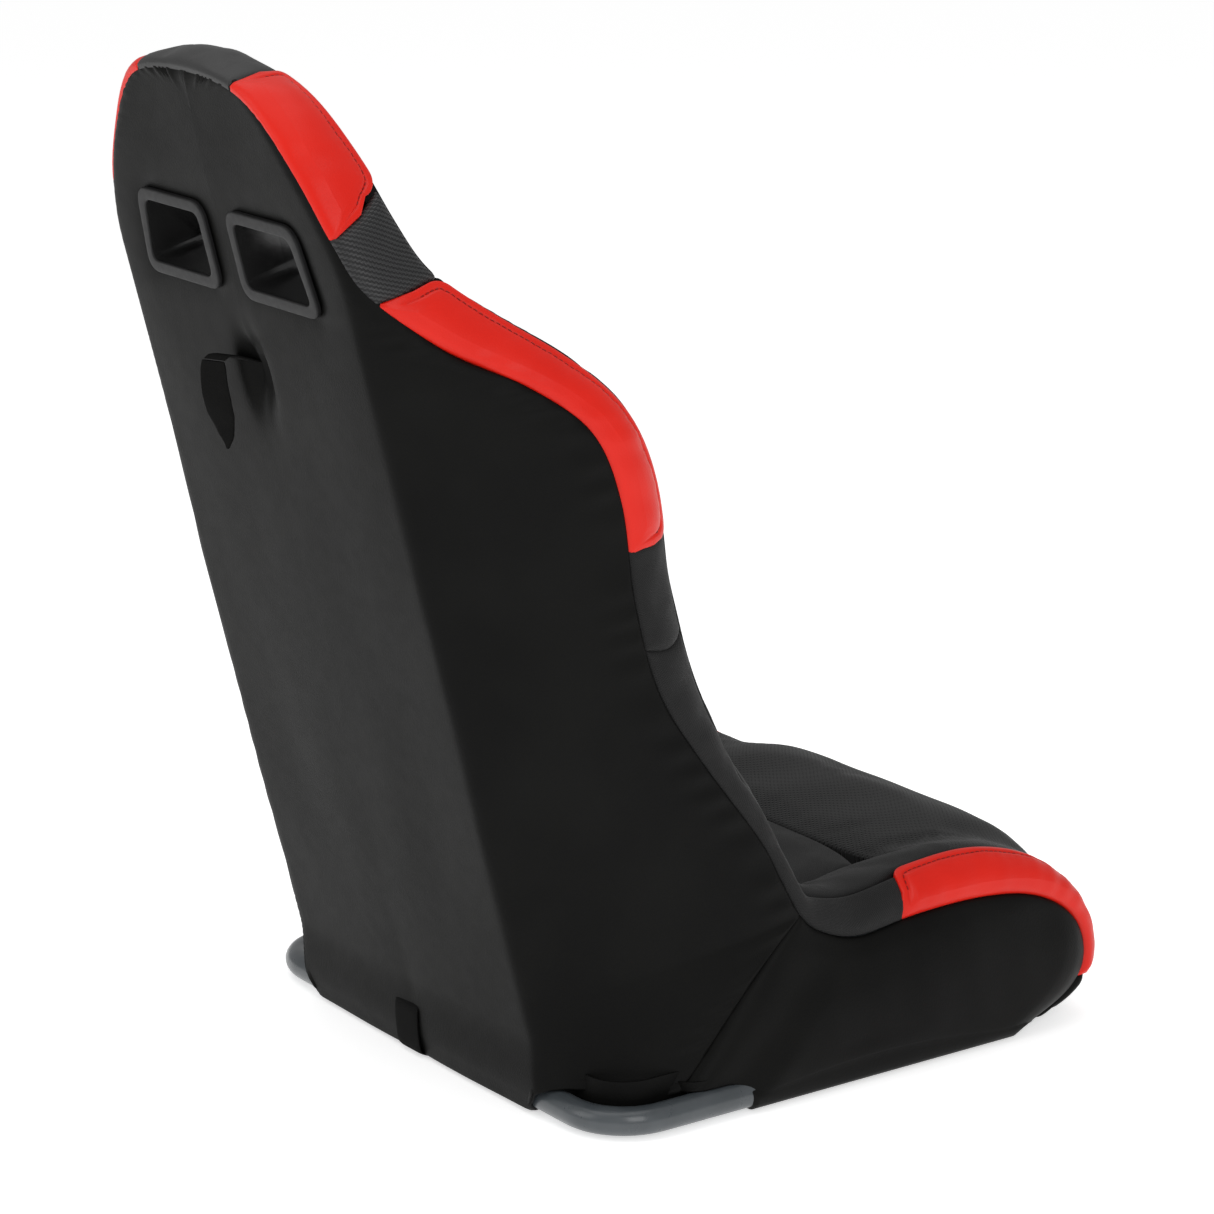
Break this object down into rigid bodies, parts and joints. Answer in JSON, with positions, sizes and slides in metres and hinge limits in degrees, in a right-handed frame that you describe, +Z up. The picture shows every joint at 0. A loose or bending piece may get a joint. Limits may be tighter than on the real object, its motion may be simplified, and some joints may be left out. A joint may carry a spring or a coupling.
{
  "type": "racing seat",
  "caption": "High-back bucket seat on a tube frame, with bolstered sides, two shoulder-harness slots in the back, a stretched rear cover and hook-and-loop straps.",
  "frame": {"origin": "middle of the footprint, at the height of the surface the base ring stands on", "axes": "+Z up, -Y the way the sitter faces, +X to the sitter's left"},
  "size_m": [0.5822, 0.7993, 0.9296],
  "materials": {
    "frame_steel": "satin grey paint",
    "zinc": "zinc plated",
    "vinyl": "matt black vinyl",
    "red_vinyl": "satin red vinyl",
    "mesh_fabric": "spacer mesh",
    "plastic": "satin flange, gloss tunnel",
    "webbing": "woven tape",
    "cord": "braided cord"
  },
  "bodies": {
    "seat": {"back_cushion": "mesh_fabric", "back_lacing_left": "cord", "back_lacing_right": "cord", "back_post_left": "frame_steel", "back_post_right": "frame_steel", "back_sling": "mesh_fabric", "base_front_tube": "frame_steel", "base_rail_left": "frame_steel", "base_rail_right": "frame_steel", "base_side_cover_left": "vinyl", "base_side_cover_right": "vinyl", "bezel_front_left": "plastic", "bezel_front_right": "plastic", "bezel_rear_left": "plastic", "bezel_rear_right": "plastic", "front_riser_left": "frame_steel", "front_riser_right": "frame_steel", "front_roll": "mesh_fabric", "head_arch": "frame_steel", "head_pad": "vinyl", "hip_bolster_left": "vinyl", "hip_bolster_right": "vinyl", "hip_brace_left": "frame_steel", "hip_brace_right": "frame_steel", "lower_strap": "webbing", "lumbar_bar": "frame_steel", "mount_tab_front_left": "frame_steel", "mount_tab_front_right": "frame_steel", "mount_tab_rear_left": "frame_steel", "mount_tab_rear_right": "frame_steel", "rail_plug_left": "plastic", "rail_plug_right": "plastic", "rear_cover": "vinyl", "seat_cushion": "mesh_fabric", "seat_front_bar": "frame_steel", "seat_lacing_left": "cord", "seat_lacing_right": "cord", "seat_sling": "mesh_fabric", "shoulder_bar": "frame_steel", "shoulder_bolster_left": "red_vinyl", "shoulder_bolster_right": "red_vinyl", "thigh_bolster_left": "red_vinyl", "thigh_bolster_right": "red_vinyl", "thigh_tube_left": "frame_steel", "thigh_tube_right": "frame_steel", "torso_tube_left": "frame_steel", "torso_tube_right": "frame_steel", "upper_strap_root": "webbing", "weld_nut_front_left": "zinc", "weld_nut_front_right": "zinc", "weld_nut_rear_left": "zinc", "weld_nut_rear_right": "zinc"},
    "strap_tail": {"upper_strap_tail": "webbing"}
  },
  "joints": [
    {"name": "strap_tail_swing", "type": "hinge", "parent": "seat", "child": "strap_tail", "pos_m": [0.034, 0.3513, 0.6515], "axis": [1, 0, 0], "range_deg": [0, 85]}
  ]
}
